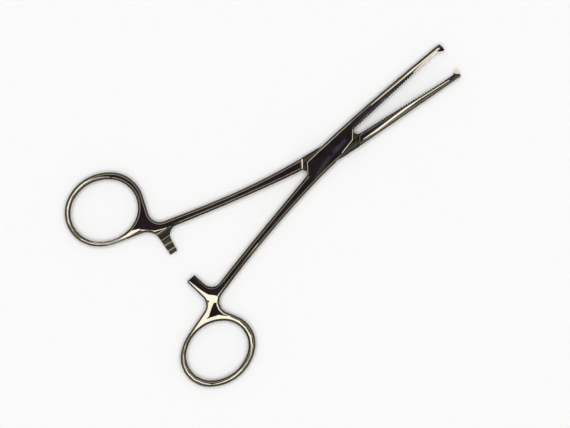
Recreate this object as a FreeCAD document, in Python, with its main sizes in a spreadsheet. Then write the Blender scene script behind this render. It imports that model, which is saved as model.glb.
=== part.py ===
import FreeCAD, Part
import math
import os
import Sketcher

# Straight toothed artery forceps with a box lock, in millimetres.
# The box half carries the lock's two plates, the tongue half passes between them,
# and a ground-flush pin joins the two.
# Each half is drawn closed, with X along the instrument towards the jaw tips and the hinge
# axis on Z, and is then turned by half of the opening.
# The origin is on the hinge axis at the lock's bottom face.

V = FreeCAD.Vector

SIZES = (
    # How the two halves stand
    ("opening_angle", 10.9, "angle between the two closed positions"),
    ("open_stop_angle", 47.0, "opening at which the lock's stop faces meet"),
    ("bite_line", 0.30, "height of the jaws' parting line over the hinge axis"),
    ("bite_gap", 0.05, "gap between the closed jaws"),
    # Lock
    ("lock_thickness", 4.8, "full thickness of the lock"),
    ("tongue_thickness", 1.9, "thickness of the tongue"),
    ("slot_play", 0.05, "play between the tongue and each plate"),
    ("tongue_upper_reach", 3.95, "hinge axis to the tongue's edge on its handle side"),
    ("tongue_lower_reach", 4.15, "hinge axis to the tongue's edge on its jaw side"),
    ("tongue_flank", 2.15, "hinge axis to the tongue's inner flanks"),
    ("stop_step", 0.3, "offset of the tongue's stop faces from the hinge axis"),
    ("wall_play", 0.1, "play between the tongue and the slot's side walls"),
    ("end_play", 0.2, "play between the tongue and the slot's end walls"),
    ("lock_upper_reach", 4.1, "hinge axis to the box's edge on its jaw side"),
    ("lock_lower_reach", 4.35, "hinge axis to the box's edge on its handle side"),
    ("plate_front_root", 13.1, "hinge axis to the plates' front root"),
    ("plate_front_corner_x", 10.15, "front free corner of the plates, along the axis"),
    ("plate_front_corner_y", 2.6, "front free corner of the plates, across the axis"),
    ("plate_back_root", 12.3, "hinge axis to the plates' back root"),
    ("plate_back_root_y", 0.5, "back root of the plates, across the axis"),
    ("plate_back_corner_x", 9.15, "back free corner of the plates, along the axis"),
    ("plate_back_corner_y", 3.4, "back free corner of the plates, across the axis"),
    ("shoulder_front_root", 13.25, "hinge axis to the tongue half's front shoulder"),
    ("shoulder_back_root", 12.22, "hinge axis to the tongue half's back shoulder"),
    ("shoulder_back_y", 0.12, "back shoulder's root below the closed axis"),
    ("front_end_slant", 0.86, "slant of the tongue's front end, along over across"),
    ("back_end_slant", 0.9, "slant of the tongue's back end, along over across"),
    ("shoulder_angle", 59.5, "slant of both shoulders from the axis"),
    ("shoulder_bevel", 0.45, "bevel along the shoulders"),
    ("pin_radius", 1.1, "radius of the hinge pin"),
    ("pin_play", 0.04, "running clearance round the pin in the tongue"),
    # Jaws
    ("jaw_length", 59.6, "hinge axis to the box half's jaw tip"),
    ("tongue_jaw_length", 58.75, "hinge axis to the tongue half's jaw tip"),
    ("jaw_tip_thickness", 2.6, "thickness of the jaws at the tip"),
    ("jaw_inner_bevel", 0.6, "bevel along the jaws' inner edges"),
    ("jaw_blend", 6.0, "length over which the jaws begin to thin"),
    ("jaw_station_gap", 2.6, "last measured width of the jaws to the tip"),
    ("tip_round", 0.7, "rounding of the jaw tips in plan"),
    ("groove_start", 14.0, "hinge axis to the first jaw groove"),
    ("groove_tip_gap", 5.9, "ungrooved stretch behind the tip"),
    ("groove_pitch", 1.1, "distance between jaw grooves"),
    ("groove_width", 0.9, "width of a jaw groove"),
    ("groove_depth", 0.42, "depth of a jaw groove"),
    ("tooth_reach", 1.3, "height of the tip teeth over the jaws' faces"),
    ("tooth_length", 2.6, "length of the tip teeth along the jaw"),
    ("tooth_crest", 0.5, "flat along the top of a tip tooth"),
    ("tooth_nose", 0.25, "tip tooth's top to the jaw's end"),
    ("tooth_nose_drop", 0.3, "how far a tip tooth slopes off to the jaw's end"),
    ("tooth_width", 0.8, "thickness of the single tip tooth"),
    ("tooth_play", 0.1, "play round the closed tip teeth"),
    # Handles
    ("shank_end", 62.0, "hinge axis to the shanks' end at the yoke"),
    ("handle_thickness", 3.4, "thickness of the rings and yokes"),
    ("handle_bevel", 0.68, "bevel along jaws, shanks, yokes and rings"),
    ("yoke_front_fillet", 3.8, "fillet between shank and ratchet arm"),
    ("ring_fillet", 4.5, "fillet between shank and ring"),
    ("oval_end_ratio", 1.07, "radius of the rings' end arcs over an ellipse's"),
    # Ratchet
    ("arm_over", 0.9, "reach of the ratchet arms past the closed axis"),
    ("arm_corner_gap", 0.15, "flat left between the arm end's two rounded corners, halved"),
    ("arm_step_slant", 1.6, "slant of the step where a ratchet arm thins"),
    ("ratchet_crest", 0.4, "flat on top of each ratchet tooth"),
    ("ratchet_first", 1.5, "arm's end to the first ratchet tooth's steep side"),
    ("ratchet_gap", 0.1, "gap between the two rows of ratchet teeth"),
    ("ratchet_depth", 0.7, "height of the ratchet teeth"),
    ("ratchet_pitch", 2.5, "distance between ratchet teeth"),
    ("ratchet_teeth", 3, "number of teeth on each ratchet arm"),
    ("ratchet_root", 8.6, "closed axis to the ratchet arms' step"),
)

# Each half's own sizes, counted outwards from the closed axis on the half's own side.
# shank_inner: reach at the yoke, slope at the lock and at the yoke.
# shank_outer: reach and slope at the yoke, and how long the straight start holds.
# jaw_back: reach and slope near the tip, and how long each end's direction holds.
# ring_hole and ring_rim: an oval's centre, half its length and width, and its tilt.
# arm_tip and arm_root: place along the axis and width. strut_corner: place and fillet.
HALVES = {
    "box": {
        "shank_inner": (7.40, 0.13, 0.16),
        "shank_outer": (10.80, 0.185, 0.24),
        "jaw_back": (2.24, 0.055, 0.34, 0.45),
        "ring_hole": (-83.42, 26.48, 12.72, 10.54, 4.6),
        "ring_rim": (-83.25, 26.72, 15.48, 12.76, 2.8),
        "arm_tip": (-72.2, 3.9),
        "arm_root": (-71.5, 4.6),
        "strut_corner": (-73.35, 11.2, 4.5),
        "ring_corner": -73.1,
    },
    "tongue": {
        "shank_inner": (7.03, 0.095, 0.175),
        "shank_outer": (10.30, 0.19, 0.44),
        "jaw_back": (1.79, 0.048, 0.22, 0.50),
        "ring_hole": (-85.42, 27.0, 13.20, 11.62, -5.5),
        "ring_rim": (-85.1, 27.38, 15.73, 13.83, -2.2),
        "arm_tip": (-71.25, 2.9),
        "arm_root": (-71.15, 4.1),
        "strut_corner": (-73.25, 11.0, 5.6),
        "ring_corner": -72.8,
    },
}
SPARE = 1.6
DOC = FreeCAD.newDocument("artery_forceps")


def make_sheet():
    """Puts every driving size in the spreadsheet, under its alias."""
    sheet = DOC.addObject("Spreadsheet::Sheet", "sizes")
    rows = list(SIZES)
    for half, table in HALVES.items():
        for name, value in table.items():
            values = value if isinstance(value, tuple) else (value,)
            for place, number in enumerate(values):
                alias = "_".join((half, name, "abcdef"[place] * 2))
                rows.append((alias, number, half + " half, " + name.replace("_", " ")))
    for row, (alias, number, note) in enumerate(rows, start=1):
        sheet.set("A%d" % row, note)
        sheet.set("B%d" % row, str(number))
        sheet.setAlias("B%d" % row, alias)
    DOC.recompute()
    return sheet


SHEET = make_sheet()


def size(alias):
    return float(SHEET.get(alias))


def own(half, name):
    """The values of one of a half's own sizes, read back from the sheet."""
    count = len(HALVES[half][name]) if isinstance(HALVES[half][name], tuple) else 1
    values = [size("_".join((half, name, letter * 2))) for letter in "abcdef"[:count]]
    return values if count > 1 else values[0]


def side(half):
    """The Y direction of a half's handle."""
    return -1.0 if half == "box" else 1.0


def add_sketch(body, name, role, geometry, height=None):
    """A sketch on one of the body's origin planes, raised by an expression if one is given."""
    sketch = body.newObject("Sketcher::SketchObject", name)
    plane = next(f for f in body.Origin.OriginFeatures if f.Role == role)
    sketch.AttachmentSupport = [(plane, "")]
    sketch.MapMode = "FlatFace"
    if height:
        sketch.setExpression("AttachmentOffset.Base.z", height)
    sketch.addGeometry(geometry, False)
    return sketch


def polygon(points):
    """Closed straight-sided outline."""
    corners = [V(x, y, 0) for x, y in points]
    return [Part.LineSegment(a, b) for a, b in zip(corners, corners[1:] + corners[:1])]


def rounded(points):
    """Straight runs through the points, joined by tangent arcs of each point's own radius."""
    runs = []
    last = V(points[0][0], points[0][1], 0)
    for before, here, after in zip(points, points[1:], points[2:]):
        corner = V(here[0], here[1], 0)
        back = (V(before[0], before[1], 0) - corner).normalize()
        ahead = (V(after[0], after[1], 0) - corner).normalize()
        half_angle = back.getAngle(ahead) / 2
        reach = here[2] / math.tan(half_angle)
        start = corner + back * reach
        end = corner + ahead * reach
        bulge = (back + ahead).normalize() * (here[2] / math.sin(half_angle) - here[2])
        runs.append(Part.LineSegment(last, start))
        runs.append(Part.Arc(start, corner + bulge, end))
        last = end
    runs.append(Part.LineSegment(last, V(points[-1][0], points[-1][1], 0)))
    return runs


def bow(start, start_run, end, end_run, holds=(1 / 3, 1 / 3)):
    """One smooth edge that leaves and arrives in the given directions."""
    first, last = V(*start, 0), V(*end, 0)
    chord = (last - first).Length
    leave, arrive = V(*start_run, 0).normalize(), V(*end_run, 0).normalize()
    curve = Part.BSplineCurve()
    poles = [first, first + leave * (holds[0] * chord), last - arrive * (holds[1] * chord), last]
    curve.buildFromPolesMultsKnots(poles, [4, 4], [0, 1], False, 3)
    return curve


class Oval:
    """A ring's inner or outer edge in plan: four tangent arcs, found by their outward angle."""

    def __init__(self, centre, radii, tilt_deg):
        self.centre = V(centre[0], centre[1], 0)
        self.turn = math.radians(tilt_deg)
        long, short = radii
        end = size("oval_end_ratio") * short * short / long
        flank = (long * long + short * short - 2 * long * end) / (2 * (short - end))
        self.joint = math.atan2(flank - short, long - end)
        # Each arc: outward angle where it starts, its centre in the oval's own axes, its radius
        self.arcs = ((-self.joint, (long - end, 0), end),
                     (self.joint, (0, short - flank), flank),
                     (math.pi - self.joint, (end - long, 0), end),
                     (math.pi + self.joint, (0, flank - short), flank))

    def arc_at(self, angle):
        """The arc that an outward angle, in the oval's own axes, falls on."""
        turned = (angle + self.joint) % (2 * math.pi) - self.joint
        return [arc for arc in self.arcs if arc[0] <= turned + 1e-12][-1]

    def middle(self, arc):
        x, y = arc[1]
        cosine, sine = math.cos(self.turn), math.sin(self.turn)
        return self.centre + V(x * cosine - y * sine, x * sine + y * cosine, 0)

    def at(self, angle):
        arc = self.arc_at(angle)
        turned = angle + self.turn
        return self.middle(arc) + V(math.cos(turned), math.sin(turned), 0) * arc[2]

    def tangents(self, point):
        """The outward angles at which a line from the point touches the oval."""
        found = []
        for arc in self.arcs:
            away = V(point[0], point[1], 0) - self.middle(arc)
            if away.Length <= arc[2]:
                continue
            heading = math.atan2(away.y, away.x) - self.turn
            spread = math.acos(arc[2] / away.Length)
            found += [angle for angle in (heading - spread, heading + spread)
                      if self.arc_at(angle) is arc]
        return found

    def run(self, first, last):
        """The arcs from one outward angle to another, anticlockwise."""
        last = first + (last - first) % (2 * math.pi)
        stops = [first]
        turns = [arc[0] + lap * 2 * math.pi for lap in (-1, 0, 1, 2) for arc in self.arcs]
        stops += sorted(t for t in turns if first + 1e-9 < t < last - 1e-9)
        stops.append(last)
        pieces = []
        for start, end in zip(stops, stops[1:]):
            arc = self.arc_at((start + end) / 2)
            circle = Part.Circle(self.middle(arc), V(0, 0, 1), arc[2])
            pieces.append(Part.ArcOfCircle(circle, start + self.turn, end + self.turn))
        return pieces


def ring_oval(half, name):
    s = side(half)
    x, y, long, short, tilt = own(half, name)
    return Oval((x, s * y), (long, short), s * tilt)


def shank_edges(half, notch, lock_start):
    """Inner and outer shank edges, each with its end at the yoke and its direction there."""
    s = side(half)
    x = -size("shank_end")
    reach, lock_slope, slope = own(half, "shank_inner")
    inner_end, inner_run = (x, s * reach), (-1, s * slope)
    inner = bow(notch, (-1, s * lock_slope), inner_end, inner_run)
    reach, slope, hold = own(half, "shank_outer")
    outer_end, outer_run = (x, s * reach), (-1, s * slope)
    outer = bow(lock_start, (-1, 0), outer_end, outer_run, (hold, 1 / 3))
    return (inner, inner_end, inner_run), (outer, outer_end, outer_run)


def jaw_end(half):
    """Hinge axis to a half's own jaw tip."""
    return size("jaw_length") if half == "box" else size("tongue_jaw_length")


def beyond_jaws():
    """A place along the axis that both blanks end before."""
    return max(jaw_end(half) for half in HALVES) + SPARE + 1


def jaw_back(half):
    """Where a jaw's back is near the tip and at the blank's end."""
    s = side(half)
    reach, slope = own(half, "jaw_back")[:2]
    near = jaw_end(half) - size("jaw_station_gap")
    beyond = jaw_end(half) + SPARE
    return (near, -s * reach), (beyond, -s * (reach - slope * (beyond - near)))


def jaw_face(half):
    """Height of a jaw's grooved face over the closed axis."""
    return size("bite_line") - side(half) * size("bite_gap") / 2


def half_outline(half):
    """Plan outline of one half: jaw, lock, shank, yoke, ratchet arm and ring."""
    s = side(half)
    back_near, back_beyond = jaw_back(half)
    face = jaw_face(half)
    rim = ring_oval(half, "ring_rim")
    strut = own(half, "strut_corner")
    tip_x, tip_width = own(half, "arm_tip")
    root_x, root_width = own(half, "arm_root")
    arm_end = -s * (size("arm_over") + SPARE)
    arm_corner = tip_width / 2 - size("arm_corner_gap")
    strut_point = (strut[0], s * strut[1])
    if half == "tongue":
        lock_end = (-size("stop_step"), -size("tongue_lower_reach"))
        lock_start = (size("stop_step"), size("tongue_upper_reach"))
        front_end, rear_end = tongue_end_lines()
        front = [(size("stop_step"), size("tongue_flank")), *front_end]
        rear = [lock_end, (-size("stop_step"), -size("tongue_flank")), *rear_end]
    else:
        lock_start = (0, -size("lock_lower_reach"))
        front = [(size("plate_front_root"), -size("lock_lower_reach")),
                 (size("plate_front_root"), face)]
        rear = [(0, size("lock_upper_reach")), (-size("plate_back_root"), size("lock_upper_reach")),
                (-size("plate_back_root"), -size("plate_back_root_y"))]
    inner, outer = shank_edges(half, rear[-1], lock_start)
    start = V(*inner[1], 0)
    run = V(*inner[2], 0)
    outer_end = outer[1]
    ring_x = own(half, "ring_corner")
    ring_point = (ring_x, outer_end[1] + outer[2][1] * (outer_end[0] - ring_x))
    strut_touch = min(rim.tangents(strut_point), key=lambda t: rim.at(t).x)
    ring_touch = max(rim.tangents(ring_point), key=lambda t: rim.at(t).x)
    # The arm's front edge meets the shank's inner edge, carried on straight, at the yoke
    front_top = V(tip_x + tip_width / 2, arm_end, 0)
    front_root = V(root_x + root_width / 2, s * size("ratchet_root"), 0)
    edge = front_root - front_top
    reach = ((front_top.x - start.x) * edge.y - (front_top.y - start.y) * edge.x) / (
        run.x * edge.y - run.y * edge.x)
    corner = start + run * reach
    # Jaw face, blank end and back
    slope, hold, near_hold = own(half, "jaw_back")[1:]
    end = V(back_beyond[0], face, 0)
    geometry = [Part.LineSegment(V(front[-1][0], face, 0), end),
                Part.LineSegment(end, V(*back_beyond, 0)),
                Part.LineSegment(V(*back_near, 0), V(*back_beyond, 0)),
                bow(rear[0], (1, 0), back_near, (1, s * slope), (hold, near_hold))]
    # Lock, from the jaw's back to the shank's inner edge
    geometry += [Part.LineSegment(V(*a, 0), V(*b, 0)) for a, b in zip(rear, rear[1:])]
    geometry.append(inner[0])
    # Yoke and ratchet arm
    geometry += rounded([inner[1], (corner.x, corner.y, size("yoke_front_fillet")),
                         (front_top.x, front_top.y, arm_corner),
                         (tip_x - tip_width / 2, arm_end, arm_corner),
                         (strut_point[0], strut_point[1], strut[2]),
                         tuple(rim.at(strut_touch))[:2]])
    # Ring, the long way round
    first, last = (ring_touch, strut_touch) if half == "tongue" else (strut_touch, ring_touch)
    geometry += rim.run(first, last)
    geometry += rounded([tuple(rim.at(ring_touch))[:2],
                         (ring_point[0], ring_point[1], size("ring_fillet")), outer_end])
    # Shank's outer edge and the lock's other side
    geometry.append(outer[0])
    geometry += [Part.LineSegment(V(*a, 0), V(*b, 0)) for a, b in zip([lock_start] + front, front)]
    return geometry


def taper_outline(sign):
    """Side view of what is taken off above (or below) a half, to thin its jaw and handle."""
    lock = size("lock_thickness") / 2
    tip = size("jaw_tip_thickness") / 2
    handle = size("handle_thickness") / 2
    far = beyond_jaws()
    rings = [own(half, "ring_rim") for half in HALVES]
    handle_end = min(ring[0] - ring[2] for ring in rings) - SPARE * 2
    front = size("plate_front_root") + 1
    rear = -(size("plate_back_root") + 1)
    top = lock + 1
    jaw_run = (tip - lock) / (size("jaw_length") - front)
    # The jaw thins evenly after a short blend, the shank over the whole way to the yoke
    blend = front + size("jaw_blend")
    blend_drop = lock + jaw_run * size("jaw_blend") / 2
    jaw = bow((front, sign * lock), (1, 0), (blend, sign * blend_drop), (1, sign * jaw_run))
    jaw_last = blend_drop + jaw_run * (far - blend)
    shank = bow((-size("shank_end"), sign * handle), (1, 0), (rear, sign * lock), (1, 0))
    flat = [(-size("shank_end"), sign * handle), (handle_end, sign * handle),
            (handle_end, sign * top), (far, sign * top), (far, sign * jaw_last),
            (blend, sign * blend_drop)]
    runs = [Part.LineSegment(V(*a, 0), V(*b, 0)) for a, b in zip(flat, flat[1:])]
    return runs + [jaw, shank, Part.LineSegment(V(front, sign * lock, 0), V(rear, sign * lock, 0))]


def pad(body, name, sketch, length, midplane=True):
    feature = body.newObject("PartDesign::Pad", name)
    feature.Profile = sketch
    feature.Midplane = midplane
    feature.setExpression("Length", length)
    return feature


def cut(body, name, sketch, length=None, reverse=False):
    """A pocket through everything both ways, or to a depth given by an expression."""
    feature = body.newObject("PartDesign::Pocket", name)
    feature.Profile = sketch
    if length:
        feature.Type = "Length"
        feature.Reversed = reverse
        feature.setExpression("Length", length)
    else:
        feature.Type = "ThroughAll"
        feature.Midplane = True
    return feature


def base_half(half):
    """A half's forged blank: plan outline, thinned in side view, with its ring bored."""
    body = DOC.addObject("PartDesign::Body", half + "_half")
    body.Label = half + "_half"
    outline = add_sketch(body, half + "_plan", "XY_Plane", half_outline(half))
    pad(body, half + "_blank", outline, "sizes.lock_thickness")
    hole = ring_oval(half, "ring_hole")
    ring = add_sketch(body, half + "_ring_plan", "XY_Plane", hole.run(0, 2 * math.pi - 1e-12))
    cut(body, half + "_ring_bore", ring)
    for sign, word in ((1, "upper"), (-1, "lower")):
        taper = add_sketch(body, half + "_" + word + "_taper", "XZ_Plane", taper_outline(sign))
        cut(body, half + "_" + word + "_thinning", taper)
    DOC.recompute()
    return body


def wall_edges(shape, wanted):
    """Names of the edges between a level face and an upright wall, where the test holds."""
    names = []
    for number, edge in enumerate(shape.Edges, start=1):
        middle = edge.valueAt((edge.FirstParameter + edge.LastParameter) / 2)
        if not wanted(middle):
            continue
        lifts = []
        for face in shape.ancestorsOfType(edge, Part.Face):
            u, w = face.Surface.parameter(middle)
            lifts.append(abs(face.normalAt(u, w).z))
        if len(lifts) == 2 and min(lifts) < 0.1 and max(lifts) > 0.9:
            names.append("Edge%d" % number)
    return names


def dress(body, kind, name, wanted, measure, radius):
    """A fillet or chamfer of one size along the edges that pass the test."""
    DOC.recompute()
    base = body.Tip
    names = wall_edges(base.Shape, wanted)
    if not names:
        raise RuntimeError(name + " finds no edges")
    feature = body.newObject("PartDesign::" + kind, name)
    feature.Base = (base, names)
    feature.setExpression(measure, radius)
    DOC.recompute()
    return feature


def on_jaw_face(half, point):
    return point.x > size("plate_front_root") and abs(point.y - jaw_face(half)) < 0.01


def is_bevelled(half, point):
    """Whether a blank's edge is bevelled: all but the jaw's face, its end and the open lock."""
    if point.x > jaw_end(half) + SPARE - 0.1 or on_jaw_face(half, point):
        return False
    front = size("shoulder_front_root") + 0.01
    rear = -size("plate_back_root") - 0.01
    if rear < point.x < front:
        s = side(half)
        outer = size("lock_upper_reach") - 0.05
        return (s * point.y > outer and point.x < -0.5) or (s * point.y < -outer and point.x > 0.5)
    return True


def near_line(point, start, end):
    """Whether a point lies on the straight run between two places in plan."""
    along = V(end[0] - start[0], end[1] - start[1], 0)
    away = V(point.x - start[0], point.y - start[1], 0)
    reach = away.dot(along) / along.Length
    return abs(away.cross(along).z) / along.Length < 0.02 and 0 < reach < along.Length


def on_shoulder(point):
    """Whether a point is on the outer rim of one of the tongue half's slanted shoulders."""
    if abs(abs(point.z) - size("lock_thickness") / 2) > 0.01:
        return False
    slant = math.tan(math.radians(size("shoulder_angle")))
    reach = size("lock_thickness")
    runs = []
    for x, y in ((size("shoulder_front_root"), jaw_face("tongue")),
                 (-size("shoulder_back_root"), -size("shoulder_back_y"))):
        runs.append(((x - reach / slant, y - reach), (x + reach / slant, y + reach)))
    return any(near_line(point, a, b) for a, b in runs)


def trim_lock(body):
    """Cuts the plates' free edges and oblique ends, the slot and the pin's seat."""
    out = size("lock_lower_reach") + 2
    front_root = size("plate_front_root")
    back_root = size("plate_back_root")
    face = jaw_face("box")
    over = 0.3
    front = [(front_root, face), (size("plate_front_corner_x"), -size("plate_front_corner_y")),
             (-1.0, -size("lock_lower_reach")), (-1.0, -out), (front_root + 2, -out),
             (front_root + 2, face - over), (front_root, face - over)]
    back = [(-back_root, -size("plate_back_root_y")),
            (-size("plate_back_corner_x"), size("plate_back_corner_y")),
            (1.0, size("lock_upper_reach") + 0.01), (1.0, out), (-back_root - 2, out),
            (-back_root - 2, 0), (-back_root, 0)]
    cut(body, "plate_trim", add_sketch(body, "plate_trim_plan", "XY_Plane",
                                       polygon(front) + polygon(back)))
    slot = add_sketch(body, "slot_plan", "XY_Plane", polygon(slot_corners()))
    feature = body.newObject("PartDesign::Pocket", "slot")
    feature.Profile = slot
    feature.Midplane = True
    feature.setExpression("Length", "sizes.tongue_thickness + 2 * sizes.slot_play")
    bore(body, "pin_seat", "sizes.pin_radius")


def tongue_end_lines():
    """The tongue's two slanted ends, as (flank point, root point) pairs."""
    flank = size("tongue_flank")
    front = ((size("shoulder_front_root") - flank * size("front_end_slant"), flank),
             (size("shoulder_front_root"), jaw_face("tongue")))
    rear = ((-size("shoulder_back_root") + flank * size("back_end_slant"), -flank),
            (-size("shoulder_back_root"), -size("shoulder_back_y")))
    return front, rear


def slot_corners():
    """Plan of the slot: clear of the closed tongue and of its whole swing to the stops."""
    (front_flank, front_root), (rear_flank, rear_root) = tongue_end_lines()
    play = size("end_play")
    flank = size("tongue_flank") + size("wall_play")
    stop = math.radians(size("open_stop_angle"))
    out = size("lock_lower_reach") + 4

    def stop_at(y):
        """The wall's end: the tongue's stop face, turned to the full opening."""
        turned = (y + size("stop_step") * math.sin(stop)) / math.cos(stop)
        return size("stop_step") * math.cos(stop) + turned * math.sin(stop)

    def end_run(inner, root):
        """The slot's end wall, carried on past the jaw's or shank's inner edge."""
        return (root[0] - inner[0]) / (root[1] - inner[1])

    front_slope = end_run(front_flank, front_root)
    rear_slope = end_run(rear_flank, rear_root)
    front_top = front_flank[0] + play + front_slope * size("wall_play")
    rear_top = rear_flank[0] - play - rear_slope * size("wall_play")
    past = 0.5
    return [(stop_at(flank), flank), (front_top, flank),
            (front_root[0] + play - front_slope * past, front_root[1] - past),
            (front_root[0] + play + 2, front_root[1] - past), (front_root[0] + play + 2, -out),
            (-stop_at(out), -out), (-stop_at(flank), -flank), (rear_top, -flank),
            (rear_root[0] - play + rear_slope * past, rear_root[1] + past),
            (rear_root[0] - play - 2, rear_root[1] + past), (rear_root[0] - play - 2, out),
            (stop_at(out), out)]


def bore(body, name, radius):
    """A round hole on the hinge axis, its radius bound to the sheet."""
    sketch = add_sketch(body, name + "_plan", "XY_Plane",
                        [Part.Circle(V(0, 0, 0), V(0, 0, 1), size("pin_radius"))])
    number = sketch.addConstraint(Sketcher.Constraint("Radius", 0, size("pin_radius")))
    sketch.renameConstraint(number, "radius")
    sketch.addConstraint(Sketcher.Constraint("Coincident", 0, 3, -1, 1))
    sketch.setExpression("Constraints.radius", radius)
    cut(body, name, sketch)


def thin_tongue(body):
    """Recesses the tongue between its two slanted shoulders, above and below."""
    slant = math.tan(math.radians(size("shoulder_angle")))
    front = size("shoulder_front_root")
    rear = -size("shoulder_back_root")
    face = jaw_face("tongue")
    out = size("tongue_lower_reach") + 2
    low = size("shoulder_back_y")
    past = 1.5
    over = 0.5
    plan = [(rear - past / slant, -low - past), (rear - past / slant, -out),
            (front - (out + face) / slant, -out), (front, face),
            (front + over, face + over * slant), (front + over, out),
            (rear + (out + low) / slant, out)]
    for sign, word in ((1, "upper"), (-1, "lower")):
        height = ("" if sign > 0 else "-") + "sizes.tongue_thickness / 2"
        sketch = add_sketch(body, word + "_recess_plan", "XY_Plane", polygon(plan), height)
        cut(body, word + "_recess", sketch, "sizes.lock_thickness", reverse=sign > 0)
    bore(body, "tongue_bore", "sizes.pin_radius + sizes.pin_play")


def cut_grooves(body, half):
    """Cross grooves along the jaw's face, half a pitch apart on the two jaws."""
    pitch = size("groove_pitch")
    first = size("groove_start") + (pitch / 2 if half == "tongue" else 0)
    count = int((jaw_end(half) - size("groove_tip_gap") - first) / pitch) + 1
    face = jaw_face(half)
    inward = -side(half)
    lip = size("groove_width") / 2
    depth = size("groove_depth")
    over = 0.05
    wide = lip * (1 + over / depth)
    groove = add_sketch(body, half + "_groove_plan", "XY_Plane",
                        polygon([(first - wide, face - inward * over),
                                 (first + wide, face - inward * over),
                                 (first, face + inward * depth)]))
    feature = cut(body, half + "_groove", groove)
    DOC.recompute()
    row = body.newObject("PartDesign::LinearPattern", half + "_grooves")
    row.Originals = [feature]
    row.Direction = (groove, ["H_Axis"])
    row.Occurrences = count
    row.setExpression("Length", "sizes.groove_pitch * %d" % (count - 1))
    body.Tip = row
    DOC.recompute()


def shape_tip(body, half):
    """Tip teeth, the room for the other jaw's teeth, and the rounded end."""
    face = jaw_face(half)
    s = side(half)
    end = jaw_end(half)
    other_end = jaw_end("tongue" if half == "box" else "box")
    reach = size("tooth_reach")
    long = size("tooth_length")
    play = size("tooth_play")
    nose_drop = size("tooth_nose_drop")
    sink = 0.3

    def profile(base, height, tip, away):
        """Slanted tooth outline over a face: away is the side it stands out to."""
        crest = tip - size("tooth_nose")
        return [(tip - long, base - away * sink), (tip - long, base),
                (crest - size("tooth_crest"), base + away * height),
                (crest, base + away * height), (tip, base + away * (height - nose_drop)),
                (tip, base - away * sink)]

    def room(base, height, tip, away):
        """The other jaw's tooth with its play, opened towards that jaw."""
        low = base - away * (height + play)
        crest = tip - size("tooth_nose") - size("tooth_crest")
        return [(tip - long - play * 2, base + away * (reach + 0.5)),
                (tip - long - play * 2, base - away * play), (crest - play * 2, low),
                (beyond_jaws(), low), (beyond_jaws(), base + away * (reach + 0.5))]

    other_face = jaw_face("tongue" if half == "box" else "box")
    # The tongue half has one tooth on the mid-plane, the box half two beside it
    if half == "tongue":
        tooth = add_sketch(body, "tongue_tooth_plan", "XY_Plane", polygon(profile(face, reach, end, s)))
        pad(body, "tongue_tooth", tooth, "sizes.tooth_width")
        room_plan = polygon(room(other_face, reach, other_end, s))
        for sign, word in ((1, "upper"), (-1, "lower")):
            height = ("" if sign > 0 else "-") + "sizes.tooth_width / 2"
            sketch = add_sketch(body, word + "_tooth_room_plan", "XY_Plane", room_plan, height)
            cut(body, word + "_tooth_room", sketch, "sizes.lock_thickness", reverse=sign > 0)
    else:
        for sign, word in ((1, "upper"), (-1, "lower")):
            height = ("" if sign > 0 else "-") + "(sizes.tooth_width / 2 + sizes.tooth_play)"
            sketch = add_sketch(body, word + "_tooth_plan", "XY_Plane",
                                polygon(profile(face, reach, end, s)), height)
            tooth = pad(body, word + "_tooth", sketch,
                        "sizes.jaw_tip_thickness / 2 - sizes.tooth_width / 2 - 2 * sizes.tooth_play",
                        midplane=False)
            tooth.Reversed = sign < 0
        sketch = add_sketch(body, "tooth_room_plan", "XY_Plane",
                            polygon(room(other_face, reach, other_end, s)))
        feature = cut(body, "tooth_room", sketch, "sizes.tooth_width + 2 * sizes.tooth_play")
        feature.Midplane = True
    # The end is cut square and its back corner rounded
    back_edge = jaw_back(half)[0][1]
    far = beyond_jaws()
    turn = size("tip_round")
    over = back_edge - s * 1.0
    front_over = face + s * (reach + 0.6)
    end_cut = [Part.LineSegment(V(end, front_over, 0), V(end, back_edge + s * turn, 0)),
               Part.Arc(V(end, back_edge + s * turn, 0),
                        V(end - turn * (1 - math.sqrt(0.5)), back_edge + s * turn * (1 - math.sqrt(0.5)), 0),
                        V(end - turn, back_edge, 0)),
               Part.LineSegment(V(end - turn, back_edge, 0), V(end - turn, over, 0)),
               Part.LineSegment(V(end - turn, over, 0), V(far, over, 0)),
               Part.LineSegment(V(far, over, 0), V(far, front_over, 0)),
               Part.LineSegment(V(far, front_over, 0), V(end, front_over, 0))]
    cut(body, half + "_tip_cut", add_sketch(body, half + "_tip_plan", "XY_Plane", end_cut))
    DOC.recompute()


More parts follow.
